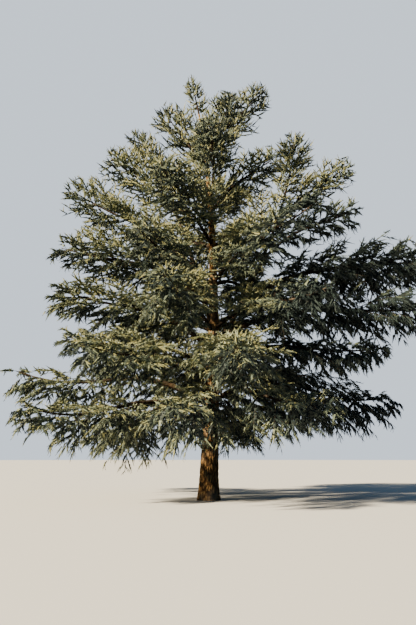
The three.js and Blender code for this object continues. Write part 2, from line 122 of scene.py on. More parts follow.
# The leaders, which rise beside the trunk. spread over 1 goes out first and then up, under 1 up first.
LEADERS = {
    "left": dict(azimuth=179, reach=4.15, tip=17.5, root=6.9, spread=0.62, limb=0.7, full=0.8),
    "right": dict(azimuth=6, reach=4.5, tip=17.8, root=5.9, spread=1.6, limb=0.72, full=0.9),
}

# The boughs, tier by tier from the ground up. Each row: side, azimuth, reach and height of the tip,
# height of the root, the share of its length that is a bare limb of its own (0 where its mass's stem
# starts at the trunk), how full its mass is, and the leader that it grows from, if any. arch lifts the
# middle of a bough, wave its root half, flat thins its mass, and hang lowers it, in half heights.
TIERS = {
    "low": (dict(arch=0.25, wave=0.38, flat=0.66, hang=0.45), [
        ("left", 183, 8.4, 5.2, 3.7, 0.3, 0.9),
        ("left_front", 206, 7.6, 3.4, 3.15, 0.3, 1),
        ("front", 256, 6.0, 3.2, 3.6, 0.22, 1.05),
        ("front_right", 315, 6.1, 3.6, 3.7, 0.22, 1.05),
        ("right_back", 21, 10.0, 4.5, 4.6, 0.3, 1.1),
        ("back", 76, 7.8, 3.5, 3.85, 0, 1.1),
        ("left_back", 136, 8.2, 2.9, 3.45, 0, 1.1),
    ]),
    "second": (dict(arch=0.42, wave=0.26, flat=0.9, hang=0.25), [
        ("left", 171, 6.75, 7.0, 5.1, 0.26, 1.1),
        ("front_left", 224, 6.2, 5.4, 4.75, 0, 1.05),
        ("front", 279, 5.9, 4.9, 5.0, 0, 1.1),
        ("right", 350, 7.6, 5.9, 5.3, 0.3, 0.65),
        ("right_back", 50, 7.7, 6.0, 4.9, 0, 1),
        ("left_back", 112, 7.5, 5.7, 5.25, 0, 1),
    ]),
    "third": (dict(arch=0.38, wave=0.2, hang=0.2), [
        ("left", 185, 6.9, 8.8, 6.15, 0.26, 1.1),
        ("front", 252, 5.2, 7.8, 6.9, 0, 1.1),
        ("front_right", 318, 6.1, 7.6, 7.1, 0, 1.05),
        ("right", 354, 10.0, 7.7, 6.9, 0.3, 0.85, "right"),
        ("back", 78, 7.5, 8.4, 6.7, 0, 1),
        ("left_back", 136, 7.6, 8.3, 7.0, 0, 1),
    ]),
    "fourth": (dict(arch=0.32, wave=0.18, hang=0.1), [
        ("left", 187, 6.9, 10.7, 8.6, 0.3, 1.1, "left"),
        ("front_left", 235, 4.9, 10.1, 8.9, 0, 1.1),
        ("front_right", 302, 5.0, 10.3, 9.3, 0, 1.15),
        ("right", 3, 10.5, 10.7, 8.6, 0.3, 0.95, "right"),
        ("back", 56, 7.2, 10.8, 9.2, 0, 1),
        ("left_back", 118, 7.0, 11.0, 9.0, 0, 1),
    ]),
    "fifth": (dict(arch=0.22, wave=0.16), [
        ("left", 180, 6.8, 14.2, 9.9, 0.3, 0.95, "left"),
        ("front", 245, 4.5, 12.9, 11.2, 0, 1.1),
        ("front_right", 328, 5.7, 12.0, 10.1, 0, 1),
        ("right", 352, 7.0, 12.7, 10.4, 0.3, 0.8, "right"),
        ("back", 78, 6.1, 13.6, 11.4, 0, 1),
        ("left_back", 136, 6.2, 13.3, 11.1, 0, 1),
    ]),
    "sixth": (dict(arch=0.15, wave=0.1), [
        ("left", 184, 5.0, 15.9, 12.6, 0, 0.9, "left"),
        ("right", 4, 7.3, 16.0, 12.4, 0, 0.65, "right"),
        ("front", 270, 3.7, 15.4, 13.3, 0, 1),
        ("front_right", 333, 3.7, 15.0, 13.0, 0, 0.95),
        ("back", 70, 5.0, 16.3, 13.9, 0, 1),
    ]),
    "top": (dict(arch=0.06, wave=0.05), [
        ("right", 356, 3.05, 20.2, 16.6, 0, 0.85),
        ("left", 188, 2.4, 18.8, 15.4, 0, 1),
        ("front", 300, 2.3, 18.3, 16.0, 0, 0.95),
        ("back", 96, 2.7, 18.9, 15.9, 0, 0.9),
    ]),
}

# Finer growth: branchlets on the stem, twigs on the branchlets, and shoots clad in needles on the twigs
BRANCHLET_SPACING = 0.132  # along the stem
MEAN_SECTION = 3.0  # half width times half height from which on branchlets stand closer
SECTION_POWER = 0.6  # and how fast they do
CLOSER = dict(  # masses where the branchlets stand closer, and how many times
    leader_left=1.5, leader_right=1.3, low_front_right=1.15,
    second_right=1.7, second_front=1.1,
    third_front=1.25, third_right=1.3, third_front_right=1.2, third_back=1.2,
    fourth_right=1.35, fourth_front_right=1.2, fourth_front_left=1.3,
    fourth_back=1.2, fourth_left_back=1.15,
    fifth_front=1.8, fifth_left=1.15, fifth_back=1.2, fifth_left_back=1.2,
    sixth_front=1.5, sixth_left=1.2, sixth_back=1.3, top_front=1.3, top_back=1.3,
)
BRANCHLET_KIN = 1000  # where the finer branchlets' draws begin
SIDE_TWIG_KIN, SHOOT_KIN = 1, 2  # what sets the draws of side twigs and of shoots apart
FINE_REACH = 1.05  # of the mass's space, before they are cut back
INNER_START = -0.24  # finer branchlets begin so far before the leafy stem, as a share of it
SHOOT_LENGTH = 0.3
# Side twigs and shoots: first is the bare share of their parent, tilt how far they stand out of its
# level, and their length is a base and a share of their parent's, less a taper towards its tip.
SIDE_TWIGS = dict(spacing=0.165, first=0.15, angle=50, tilt=24, base=0.24, share=0.34, taper=0.72)
SHOOTS = dict(spacing=0.125, first=0.08, angle=42, tilt=65, base=SHOOT_LENGTH, share=0, taper=0.3)
CHILD_PLACE = dict(first=0.3, spread=0.5)  # where a side twig or shoot stands in its share
LIFTS = (3, 9, 19), (-0.25, -0.05, 0.6)  # by height, how far twigs turn down or up
SHADE_HANG = 0.4  # how far twigs turn down on the shaded side
SHADED_FROM = dict(x=2.2, y=-4.5, z=4, top=14)  # that side's bounds, where shade sets in
SHADE_DEEPENS = dict(x=1.5, y=2, z=2, top=3)  # and over what way it does
SHOOT_VARIES = 0.35
SHOOT_LIFT = 0.6  # shoots turn up or down so much of what twigs do
SHOOT_TURN = 0.3  # how far shoots turn up on top of a mass and down under it
INNER_SHOOTS = dict(within=0.7, fuller=2.0)  # from so far out to the stem shoots grow fuller
AXIS_SHOOT_SPACING = 0.24  # of the shoots that clothe the twigs and branchlets themselves
AXIS_SHOOTS = dict(twig=0.1, branchlet=0.45, end=0.97)  # where along them they begin and end
TIP_WOOD = 0.25  # share of its root radius that a twig's tip keeps
LEAST_SHARE = 0.3  # a twig cut back further than this is left out
OLD, YOUNG = range(2)  # kinds of bark
WOODS = {  # base and share give the radius of branchlets and twigs by their length
    "stem": dict(joints=22, sides=8, kind=OLD),
    "branchlets": dict(joints=5, sides=4, kind=OLD, base=0.007, share=0.0065),
    "twigs": dict(joints=2, sides=3, kind=YOUNG, base=0.003, share=0.004),
}

# What the node tree for shoots is given. Needles are larger than life as far as their number needs, and
# sizes are shares of their shoot's length.
NEEDLES_GIVEN = {
    "Needles": 8,
    "Needle Length": 0.24,
    "Needle Width": 0.055,
    "Opening": math.radians(40),  # angle between a shoot and its needles
    "Bend": 0.06,  # how far a shoot's tip bends down
    "Packed Radius": 0.095,  # of the needles that lie close round the shoot, at its root
}
SHOOT_SHAPES = 3
NEEDLES_VARY = dict(Min_001=0.7, Max_001=1.3)
MOST_SHOOTS = 17000  # in one piece, so that it stays under 200,000 triangles

# Which needles a shoot bears goes by a value with these shares, which height changes a little. The shares
# paint light and shade: paler on shoots that point up, darker on the crown's shaded side, darker inside a
# mass in part, and by height paler low down and darker at the top.
TINT = dict(start=0.13, out=0.5, own=0.36, raised_painted_light=0.4, usual_lift=0.8, shade=-0.38)
TINT_BY_HEIGHT = (5, 9, 13, 18), (0.06, 0, 0, -0.15)
TINT_STEPS = (0.25, 0.42, 0.66)
# more olive low down and fewer on the shaded side: partly painted warm sunlight and shade
OLIVE_SHARES = (4, 10), (0.42, 0.22)  # by height, how many of the paler shoots are olive
OLIVE_IN_SHADE = -0.15

UP = np.array([0.0, 0.0, 1.0])
TINY = 1e-6

# What each draw is for, as the last of its whole numbers
PLACE_DRAW, TURN_DRAW, ANGLE_DRAW, REACH_DRAW, DROOP_DRAW = range(5)
CHILD_DRAWS = dict(place=10, roll=11, angle=12, length=13)
AXIS_DRAW = 20
TINT_DRAW, OLIVE_DRAW = 30, 31
SPACE_DRAW = 40
KEY_FACTORS = dict(parent=31, place=7, axis=5)

# A draw from 0 to 1 depends only on its three whole numbers, so each twig keeps its own.
DRAW_KEYS = (374761393, 668265263, 1274126177)
DRAW_MIXERS = ((15, 2246822519), (13, 3266489917), (16, 1))  # each a shift and a factor
WORD = 2**32


def draw(*key):
    h = np.uint64(0)
    for value, factor in zip(key, DRAW_KEYS):
        h = h ^ ((np.asarray(value, np.uint64) + np.uint64(1)) * np.uint64(factor) % np.uint64(WORD))
    for shift, factor in DRAW_MIXERS:
        h = (h ^ (h >> np.uint64(shift))) * np.uint64(factor) % np.uint64(WORD)
    return h.astype(float) / WORD


def varied(value, share, drawn):
    return value * (1 + share * (2 * drawn - 1))


def vary(value, share, *key):
    return varied(value, share, draw(*key))


def with_length(rule, length):
    """A size that grows with a length from its base."""
    return rule["base"] + rule["share"] * length


def unit(vectors):
    return vectors / np.linalg.norm(vectors, axis=-1, keepdims=True)


def ramp(values, start, way):
    """From 0 at the start up to 1 at the end of the way."""
    return np.clip((values - start) / way, 0, 1)


# Trunk, boughs and masses, as in the solids


def trunk_centre(z):
    z = np.asarray(z, float)
    return np.stack(
        [LEAN * z * (1 - (z / UPRIGHT_AGAIN) ** 2), TRUNK_BOW * np.sin(np.pi * z / TREE_HEIGHT), z], -1
    )


def trunk_radius(z):
    share = z / TREE_HEIGHT
    return TRUNK_RADIUS * (1 - share) ** TAPER_POWER + TIP_RADIUS * share


def crossing(line, t):
    """The directions along a line, across it and over it; across is level."""
    step = 1e-3
    along = unit(line(t + step) - line(t - step))
    across = unit(np.cross(along, UP))
    return along, across, np.cross(across, along)


def point_at_height(line, height):
    low, high = 0.0, 1.0
    for _ in range(HALVINGS):
        middle = (low + high) / 2
        if line(middle)[2] < height:
            low = middle
        else:
            high = middle
    return line(low)


def bough_line(azimuth, reach, tip, root, parent, spread, arch, wave, bow_sign):
    """A bough's line from its root on the trunk or a leader to the tip of its mass."""
    aim = math.radians(azimuth)
    start = point_at_height(parent["line"], root) if parent else trunk_centre(root)
    out = np.array([reach * math.cos(aim) - start[0], reach * math.sin(aim) - start[1], 0])
    aside = np.array([-out[1], out[0], 0]) * BOW_SHARE * bow_sign

    def line(t):
        t = np.asarray(t, float)[..., None]
        share = 1 - np.sign(1 - t) * np.abs(1 - t) ** spread
        rise = (tip - root) * t + arch * 4 * t * (1 - t) + wave * np.sin(2 * np.pi * t)
        return start + out * share + aside * np.sin(np.pi * t) + UP * rise

    return line


def with_stem(**mass):
    """A mass, given as named values, with its stem and the chords that stand for it."""
    leaf_start, line = mass["leaf_start"], mass["line"]
    mass["stem"] = lambda s: line(leaf_start + (1 - leaf_start) * np.asarray(s, float))
    s = np.linspace(0, 1, STEM_CHORDS + 1)
    mass["chords"] = mass["stem"](s) - UP * (mass["hang"] * mass["half_height"] * girth(s))[:, None]
    return mass


def girth(s):
    return np.sin(np.pi * (GIRTH["start"] + GIRTH["span"] * s)) ** GIRTH["power"]


def towards(directions, sideways, upward, forward):
    """The way of a twig that leaves its parent at an angle, towards one side of it."""
    along, across, over = directions
    aside = across * sideways[:, None] + over * upward[:, None]
    return along * np.cos(forward)[:, None] + aside * np.sin(forward)[:, None]


def spread_at(s):
    """How wide a mass may grow along its stem: full between its neighbours, pointed at the tip."""
    narrowing = ramp(s, POINTED["start"], 1 - POINTED["start"]) ** POINTED["power"]
    return INNER_REACH + (POINTED["tip"] - INNER_REACH) * narrowing


def make_bough(name, number, azimuth, reach, tip, root, limb, full=1, parent=None, spread=1, arch=0,
               wave=0, flat=1, hang=0, root_radius=None):
    line = bough_line(azimuth, reach, tip, root, parent, spread, arch, wave, -1 if number % 2 else 1)
    length = float(np.linalg.norm(line(1.0) - line(0.0)))
    leaf_start = limb or BARE_SHARE
    leaf_length = min(length, reach) * (1 - leaf_start)
    thick = root_radius or with_length(ROOT_RADIUS, length)

    def radius(t):
        return BOUGH_TIP_RADIUS + (thick - BOUGH_TIP_RADIUS) * np.maximum(0, 1 - t) ** BOUGH_TAPER_POWER

    return with_stem(
        name=name, line=line, length=length, start=limb, leaf_start=leaf_start, radius=radius, hang=hang,
        half_width=full * with_length(HALF_WIDTH, leaf_length),
        half_height=full * flat * with_length(HALF_HEIGHT, leaf_length),
    )


def make_masses():
    """Leaders, boughs and the top shoot, in the order that their draws are numbered in."""
    leaders = {
        side: make_bough("leader_" + side, number, root_radius=LEADER_ROOT_RADIUS, **sizes)
        for number, (side, sizes) in enumerate(LEADERS.items())
    }
    masses = list(leaders.values())
    for tier, (shape, rows) in TIERS.items():
        for number, (side, *sizes) in enumerate(rows):
            sizes = [leaders.get(size, size) for size in sizes]  # the last may name a leader
            masses.append(make_bough(tier + "_" + side, number, *sizes, **shape))
    low, high = trunk_centre(TRUNK_TIP), trunk_centre(TRUNK_TIP + TOP_MASS_RISE)
    top = with_stem(
        name="top_shoot", line=lambda t: low + (high - low) * np.asarray(t, float)[..., None],
        length=TOP_MASS_RISE, start=0, leaf_start=0, hang=0,
        half_width=TOP_MASS_SIZE, half_height=TOP_MASS_SIZE,
        radius=lambda t: trunk_radius(TRUNK_TIP) * (1 - t) + BOUGH_TIP_RADIUS * t,
    )
    return masses + [top]


def nearest_on_row(row, points, radii=None):
    """Each point's least distance to a row of chords, less the radius there, and where on the row."""
    least = np.full(len(points), np.inf)
    place = np.zeros(len(points))
    for i in range(len(row) - 1):
        chord = row[i + 1] - row[i]
        away = points - row[i]
        share = np.clip(away @ chord / (chord @ chord), 0, 1)
        distance = np.linalg.norm(away - share[:, None] * chord, axis=1)
        distance -= radii[i] if radii is not None else 0
        place = np.where(distance < least, i + share, place)
        least = np.minimum(least, distance)
    return least, place


def outness(mass, points):
    """How far out of its space each point lies, in half widths of the mass, and where along its stem."""
    flatten = np.array([1, 1, mass["half_width"] / mass["half_height"]])
    away, place = nearest_on_row(mass["chords"] * flatten, points * flatten)
    return away / mass["half_width"], place / STEM_CHORDS


def boxes_meet(low, high, other_low, other_high):
    return (other_low < high).all() and (other_high > low).all()


def find_neighbours(masses):
    for mass in masses:
        reach = SPACE_REACH * INNER_REACH * max(mass["half_width"], mass["half_height"])
        mass["low"] = mass["chords"].min(0) - reach
        mass["high"] = mass["chords"].max(0) + reach
    for mass in masses:
        mass["near"] = [
            other for other in masses
            if other is not mass and boxes_meet(mass["low"], mass["high"], other["low"], other["high"])
        ]


def in_own_space(mass, points, reach=SPACE_REACH):
    """Inside the mass's swell, not past its stem's ends, and nearer to it than to any neighbour."""
    own, place = outness(mass, points)
    inside = own < reach * spread_at(place)
    chords = mass["chords"]
    for end, inner, room in ((chords[-1], chords[-2], TIP_ROOM), (chords[0], chords[1], ROOT_ROOM)):
        inside &= (points - end) @ unit(end - inner) < room
    for other in mass["near"]:
        inside &= outness(other, points)[0] > own + SPACE_MARGIN
    return inside


def limb_rows(masses):
    heights = np.linspace(0, TRUNK_TIP, TRUNK_CHORDS + 1)
    rows = [(trunk_centre(heights), trunk_radius(heights))]
    for mass in masses[:-1]:
        t = np.linspace(0, mass["leaf_start"], LIMB_CHORDS + 1)
        rows.append((mass["line"](t), mass["radius"](t)))
    return rows


def clear_of_limbs(rows, points):
    clear = np.ones(len(points), bool)
    low, high = points.min(0) - LIMB_SEARCH, points.max(0) + LIMB_SEARCH
    for row, radii in rows:
        if boxes_meet(low, high, row.min(0), row.max(0)):
            clear &= nearest_on_row(row, points, radii)[0] > LIMB_MARGIN
    return clear


# Growth of a mass

SHOOT_FIELDS = ("start", "direction", "length", "droop", "keys")


def share_out(count):
    """For so many children of each parent: each child's parent, and its number among its siblings."""
    parent = np.repeat(np.arange(len(count)), count)
    return parent, np.arange(len(parent)) - np.repeat(np.cumsum(count) - count, count)


class Shoots:
    """Many bending shoots: each sets off along its direction and its tip falls."""

    def __init__(self, start, direction, length, droop, keys):
        self.start, self.direction, self.keys = start, unit(direction), keys
        self.length, self.droop = length, droop

    def at(self, t):
        fall = self.droop * self.length * t * t
        return self.start + self.direction * (self.length * t)[:, None] - UP * fall[:, None]

    def along(self, t):
        return unit(self.direction - UP * (2 * self.droop * t)[:, None])

    def pick(self, chosen):
        return Shoots(*(getattr(self, field)[chosen] for field in SHOOT_FIELDS))

    def cut_back(self, allowed, steps=6):
        """Each shoot ends where it would leave what is allowed; short stumps go."""
        kept = np.zeros(len(self.length))
        growing = np.ones(len(self.length), bool)
        for step in range(1, steps + 1):
            share = step / steps
            growing &= allowed(self.at(share), self.keys)
            kept[growing] = share
        cut = self.pick(kept >= LEAST_SHARE)
        cut.length = cut.length * kept[kept >= LEAST_SHARE]
        return cut

    def children(self, index, kin, given):
        """Side shoots, alternately left and right of their parent, tilted out of its level."""
        first = given["first"]
        count = np.maximum(1, np.round(self.length * (1 - first) / given["spacing"])).astype(int)
        parent, place = share_out(count)
        keys = (self.keys[parent] * KEY_FACTORS["parent"] + place * KEY_FACTORS["place"] + kin) % (WORD - 1)
        draws = {kind: draw(index, keys, number) for kind, number in CHILD_DRAWS.items()}
        t = place + CHILD_PLACE["first"] + CHILD_PLACE["spread"] * draws["place"]
        t = first + (1 - first) * t / count[parent]
        picked = self.pick(parent)
        along = picked.along(t)
        across = unit(np.cross(along, UP) + TINY)
        directions = along, across, np.cross(across, along)
        side = np.where(place % 2 == 0, 1.0, -1.0)
        roll = np.radians(given["tilt"] * (2 * draws["roll"] - 1))
        forward = np.radians(varied(given["angle"], FINE_ANGLE_VARIES, draws["angle"]))
        direction = towards(directions, side * np.cos(roll), np.sin(roll), forward)
        length = with_length(given, picked.length) * (1 - given["taper"] * t)
        length = length * varied(1, SHOOT_VARIES, draws["length"])
        return Shoots(picked.at(t), direction, length, np.zeros(len(t)), keys)


def grow_branchlets(mass, index, count, kin):
    """The seeded rule of the solids, for any number of twigs round the stem."""
    k = np.arange(count)
    keys = k + kin
    s = (k + TWIG_PLACE["first"] + TWIG_PLACE["spread"] * draw(index, keys, PLACE_DRAW)) / count
    if kin > 0 and mass["leaf_start"] > 0:
        s = INNER_START + (1 - INNER_START) * s
    directions = crossing(mass["stem"], np.minimum(s, LAST_PLACE))
    turn = np.radians(TURN_PER_TWIG * k + TURN_SPREAD * draw(index, keys, TURN_DRAW))
    forward = np.radians(vary(FORWARD_ANGLE, ANGLE_VARIES, index, keys, ANGLE_DRAW))
    direction = towards(directions, np.cos(turn), np.sin(turn), forward)
    height = mass["half_height"] * (1 - mass["hang"] * np.sign(np.sin(turn)))
    room = 1 / np.hypot(np.cos(turn) / mass["half_width"], np.sin(turn) / height)
    reach = vary(TWIG_REACH, REACH_VARIES, index, keys, REACH_DRAW) if kin == 0 else FINE_REACH
    swell = girth(s) if kin == 0 else spread_at(s)
    length = reach * room * swell / np.sin(forward)
    droop = vary(TWIG_DROOP, DROOP_VARIES, index, keys, DROOP_DRAW)
    return Shoots(mass["stem"](s), direction, length, droop, keys)


def shaded_side(points):
    """1 where the crown's right-hand side lies in the crown's own shade, 0 away from there; the needles
    there are painted darker as shade.
    """
    begins, deepens = SHADED_FROM, SHADE_DEEPENS
    x, y, z = points.T
    right = ramp(x, begins["x"], deepens["x"])
    below = ramp(-z, -begins["top"], deepens["top"])
    covered = np.maximum(ramp(y, begins["y"], deepens["y"]), ramp(z, begins["z"], deepens["z"]))
    return right * below * covered


def lift_at(points):
    return np.interp(points[:, 2], *LIFTS) - SHADE_HANG * shaded_side(points)


def grow_mass(mass, index, rows):
    """Branchlets, side twigs and shoots of one mass."""
    def in_reach(points, keys):
        return in_own_space(mass, points, SPACE_REACH * (1 - SPACE_VARIES * draw(index, keys, SPACE_DRAW)))

    def allowed(points, keys):
        return in_reach(points, keys) & clear_of_limbs(rows, points)

    leaf_length = mass["length"] * (1 - mass["leaf_start"])
    coarse = int(np.clip(round(leaf_length / TWIG_SPACING), FEWEST_TWIGS, MOST_TWIGS))
    section = mass["half_width"] * mass["half_height"] / MEAN_SECTION
    closer = CLOSER.get(mass["name"], 1) * max(1, section) ** SECTION_POWER
    fine = int(round(leaf_length / BRANCHLET_SPACING * closer))
    branchlets = join_shoots(
        [grow_branchlets(mass, index, coarse, 0), grow_branchlets(mass, index, fine, BRANCHLET_KIN)]
    ).cut_back(in_reach)
    twigs = branchlets.children(index, SIDE_TWIG_KIN, SIDE_TWIGS)
    twigs.direction = unit(twigs.direction + UP * lift_at(twigs.start)[:, None])
    twigs = twigs.cut_back(allowed)
    shoots = join_shoots([
        twigs.children(index, SHOOT_KIN, SHOOTS),
        axis_shoots(twigs, index, AXIS_SHOOTS["twig"]),
        axis_shoots(branchlets, index, AXIS_SHOOTS["branchlet"]),
    ])
    level = (shoots.start - mass["stem"](outness(mass, shoots.start)[1]))[:, 2] / mass["half_height"]
    turn = SHOOT_TURN * level + SHOOT_LIFT * lift_at(shoots.start)
    shoots.direction = unit(shoots.direction + UP * turn[:, None])
    tips = shoots.at(1)
    shoots = shoots.pick(in_own_space(mass, tips) & clear_of_limbs(rows, tips))
    return dict(index=index, mass=mass, branchlets=branchlets, twigs=twigs, shoots=shoots)


def axis_shoots(parents, index, first):
    """Shoots one after the other along their parents, from a first place on to the tip."""
    count = np.ceil(parents.length * (1 - first) / AXIS_SHOOT_SPACING).astype(int) + 1
    parent, place = share_out(count)
    picked = parents.pick(parent)
    t = first + (AXIS_SHOOTS["end"] - first) * place / np.maximum(1, count[parent] - 1)
    keys = (picked.keys * KEY_FACTORS["parent"] + place + KEY_FACTORS["axis"]) % (WORD - 1)
    length = vary(SHOOT_LENGTH, SHOOT_VARIES, index, keys, AXIS_DRAW)
    return Shoots(picked.at(t), picked.along(t), length, np.zeros(len(t)), keys)


def join_shoots(groups):
    return Shoots(*(np.concatenate([getattr(group, field) for group in groups]) for field in SHOOT_FIELDS))


# Objects and materials

BARK_STOPS = (0.22, 0.48, 0.72)  # where the shadow, middle and crest colours stand, by height
STREAKS = dict(Scale=6.0, Detail=6.0, Roughness=0.7)
STREAK_STRETCH = 0.3  # share of the pattern's fineness that is left along the trunk
PATCH_SCALE = 1.3
PATCHES = [(0.48, (0, 0, 0)), (0.66, (0.6, 0.6, 0.6))]  # how far grey patches cover the bark
GREYED = 0.45  # how far they lose its crest's colour
SPECKLED = dict(darker=0.78, lighter=1.2)  # how far needles of one tint differ from place to place


def placed(name, data):
    thing = bpy.data.objects.new(name, data)
    bpy.context.scene.collection.objects.link(thing)
    return thing


def round_angles(count):
    return np.linspace(0, 2 * np.pi, count, endpoint=False)


def shader(name, roughness, specular=0.3):
    material = bpy.data.materials.new(name)
    material.use_nodes = True
    principled = material.node_tree.nodes["Principled BSDF"]
    principled.inputs["Roughness"].default_value = roughness
    principled.inputs["Specular IOR Level"].default_value = specular
    return material, principled


def add_node(tree, kind, sockets=None, **settings):
    """Adds a node; sockets maps input identifiers to values or to outputs that feed them."""
    node = tree.nodes.new(kind)
    for key, value in settings.items():
        setattr(node, key, value)
    for identifier, value in (sockets or {}).items():
        socket = next(s for s in node.inputs if s.identifier == identifier)
        if isinstance(value, bpy.types.NodeSocket):
            tree.links.new(value, socket)
        else:
            socket.default_value = value
    return node


def made(tree, kind, result, sockets=None, **settings):
    """Adds a node and gives its result, named by its identifier."""
    node = add_node(tree, kind, sockets, **settings)
    return next(socket for socket in node.outputs if socket.identifier == result)


def maths(tree, operation, a, b=0.0):
    return made(tree, "ShaderNodeMath", "Value", {"Value": a, "Value_001": b}, operation=operation)


def uneven(tree, place, **sockets):
    return made(tree, "ShaderNodeTexNoise", "Fac", {"Vector": place, **sockets})


def ramp_node(tree, factor, stops):
    node = add_node(tree, "ShaderNodeValToRGB", {"Fac": factor})
    elements, stops = node.color_ramp.elements, list(stops)
    while len(elements) < len(stops):
        elements.new(0.5)
    for element, (position, colour) in zip(elements, stops):
        element.position = position
        element.color = (*colour, 1)
    return node.outputs["Color"]


def bark_material(name, shadow, middle, crest, scale):
    """Fissured bark: dark in its furrows, streaked along its ridges, with grey patches."""
    material, principled = shader(name, roughness=0.92, specular=0.15)
    tree = material.node_tree
    place = made(tree, "ShaderNodeTexCoord", "Object")
    furrow = made(tree, "ShaderNodeAttribute", "Fac", attribute_name="furrow")
    drawn_out = {"Vector": place, "Scale": (scale, scale, scale * STREAK_STRETCH)}
    streaks = uneven(tree, made(tree, "ShaderNodeMapping", "Vector", drawn_out), **STREAKS)
    patches = uneven(tree, place, Scale=PATCH_SCALE * scale, Detail=3.0)
    shade = maths(tree, "MULTIPLY", maths(tree, "ADD", streaks, furrow), 0.5)
    base = ramp_node(tree, shade, zip(BARK_STOPS, (shadow, middle, crest)))
    grey = tuple((1 - GREYED) * c + GREYED * sum(crest) / 3 for c in crest)
    cover = ramp_node(tree, patches, PATCHES)
    colours = {"Factor_Float": cover, "A_Color": base, "B_Color": (*grey, 1)}
    mixed = made(tree, "ShaderNodeMix", "Result_Color", colours, data_type="RGBA")
    bump = made(tree, "ShaderNodeBump", "Normal", {"Height": streaks, "Strength": 0.6, "Distance": 0.02})
    tree.links.new(mixed, principled.inputs["Base Color"])
    tree.links.new(bump, principled.inputs["Normal"])
    return material


def needle_material(name, colour):
    """Waxy needles of one tint, a little uneven from place to place."""
    material, principled = shader(name, roughness=0.6, specular=0.35)
    tree = material.node_tree
    speckle = uneven(tree, made(tree, "ShaderNodeTexCoord", "Object"), Scale=9.0, Detail=2.0)
    darker, lighter = (tuple(SPECKLED[way] * c for c in colour) for way in ("darker", "lighter"))
    tint = ramp_node(tree, speckle, [(0.3, darker), (0.7, lighter)])
    tree.links.new(tint, principled.inputs["Base Color"])
    return material


BARKS = {  # shadow, middle and crest colours, and how fine the pattern is
    "trunk_bark": ((0.03, 0.015, 0.007), (0.16, 0.086, 0.032), (0.37, 0.215, 0.08), 1.0),
    "bough_bark": ((0.02, 0.013, 0.009), (0.08, 0.052, 0.032), (0.16, 0.11, 0.068), 3.0),
    "twig_bark": ((0.05, 0.03, 0.02), (0.13, 0.075, 0.045), (0.21, 0.13, 0.085), 9.0),
}
TRUNK_BARK, BOUGH_BARK, TWIG_BARK = (bark_material(name, *looks) for name, looks in BARKS.items())
# shaded is a near-black copy of the needles that paints shade; deep, the darker inner needles, is partly
# painted shade
NEEDLE_TINTS = dict(
    shaded=(0.026, 0.042, 0.043),
    deep=(0.09, 0.12, 0.095),
    middle=(0.22, 0.265, 0.185),
    olive=(0.29, 0.295, 0.14),
    glaucous=(0.4, 0.45, 0.325),
)
NEEDLES = [needle_material("needles_" + name, colour) for name, colour in NEEDLE_TINTS.items()]
SHADED, DEEP, MIDDLE, OLIVE_GREEN, GLAUCOUS = range(len(NEEDLES))


# Geometry Nodes trees


def new_tree(name, inputs):
    """An empty tree with named inputs, each given with its kind of socket."""
    tree = bpy.data.node_groups.new(name, "GeometryNodeTree")
    tree.interface.new_socket("Geometry", in_out="OUTPUT", socket_type="NodeSocketGeometry")
    tree.interface.new_socket("Geometry", in_out="INPUT", socket_type="NodeSocketGeometry")
    for label, kind in inputs.items():
        tree.interface.new_socket(label, in_out="INPUT", socket_type="NodeSocket" + kind)
    return tree, add_node(tree, "NodeGroupInput").outputs


def end_tree(tree, geometry, choices):
    """Realizes the instances and sets materials by the kind kept with each, one lower for its inner: the
    packed cone takes the next darker tint, painted shade.
    """
    whole = made(tree, "GeometryNodeRealizeInstances", "Geometry", {"Geometry": geometry})
    kind = maths(tree, "SUBTRACT", read(tree, "kind", "INT"), read(tree, "inner", "INT"))
    kind = maths(tree, "MAXIMUM", kind, 0.0)
    for number, material in enumerate(choices):
        pair = {"A_INT": kind, "B_INT": number}
        chosen = made(tree, "FunctionNodeCompare", "Result", pair, data_type="INT", operation="EQUAL")
        look = {"Geometry": whole, "Selection": chosen, "Material": material}
        whole = made(tree, "GeometryNodeSetMaterial", "Geometry", look)
    add_node(tree, "NodeGroupOutput", {tree.interface.items_tree[0].identifier: whole})


def triple(tree, x=0.0, y=0.0, z=0.0):
    return made(tree, "ShaderNodeCombineXYZ", "Vector", {"X": x, "Y": y, "Z": z})


def read(tree, name, kind):
    return made(tree, "GeometryNodeInputNamedAttribute", "Attribute", {"Name": name}, data_type=kind)


def moved(tree, geometry, position):
    sockets = {"Geometry": geometry, "Position": position}
    return made(tree, "GeometryNodeSetPosition", "Geometry", sockets)


def turned_to(tree, vector, axis, pivot="AUTO", **before):
    """A rotation that points an axis along a vector kept at the points."""
    sockets = {"Vector": read(tree, vector, "FLOAT_VECTOR"), **before}
    kind = "FunctionNodeAlignRotationToVector"
    return made(tree, kind, "Rotation", sockets, axis=axis, pivot_axis=pivot)


def bent(tree, given, share):
    """How far a shoot stands aside where this share of it lies behind."""
    return maths(tree, "MULTIPLY", maths(tree, "MULTIPLY", share, share), given["Bend"])


def wood_tree(choices):
    """Tubes along paths: each point of a path keeps its radius."""
    tree, given = new_tree("wood_along_paths", {"Sides": "Int"})
    paths = made(tree, "GeometryNodeMeshToCurve", "Curve", {"Mesh": given["Geometry"]})
    ring = {"Resolution": given["Sides"], "Radius": 1.0}
    ring = made(tree, "GeometryNodeCurvePrimitiveCircle", "Curve", ring)
    radius = read(tree, "radius", "FLOAT")
    tube = {"Curve": paths, "Profile Curve": ring, "Scale": radius, "Fill Caps": True}
    end_tree(tree, made(tree, "GeometryNodeCurveToMesh", "Mesh", tube), choices)
    return tree


def placed_on(tree, points, instance, rotation, scale, choice=None):
    sockets = {"Points": points, "Instance": instance, "Rotation": rotation,
               "Scale": triple(tree, *scale), **(choice or {})}
    return made(tree, "GeometryNodeInstanceOnPoints", "Instances", sockets)


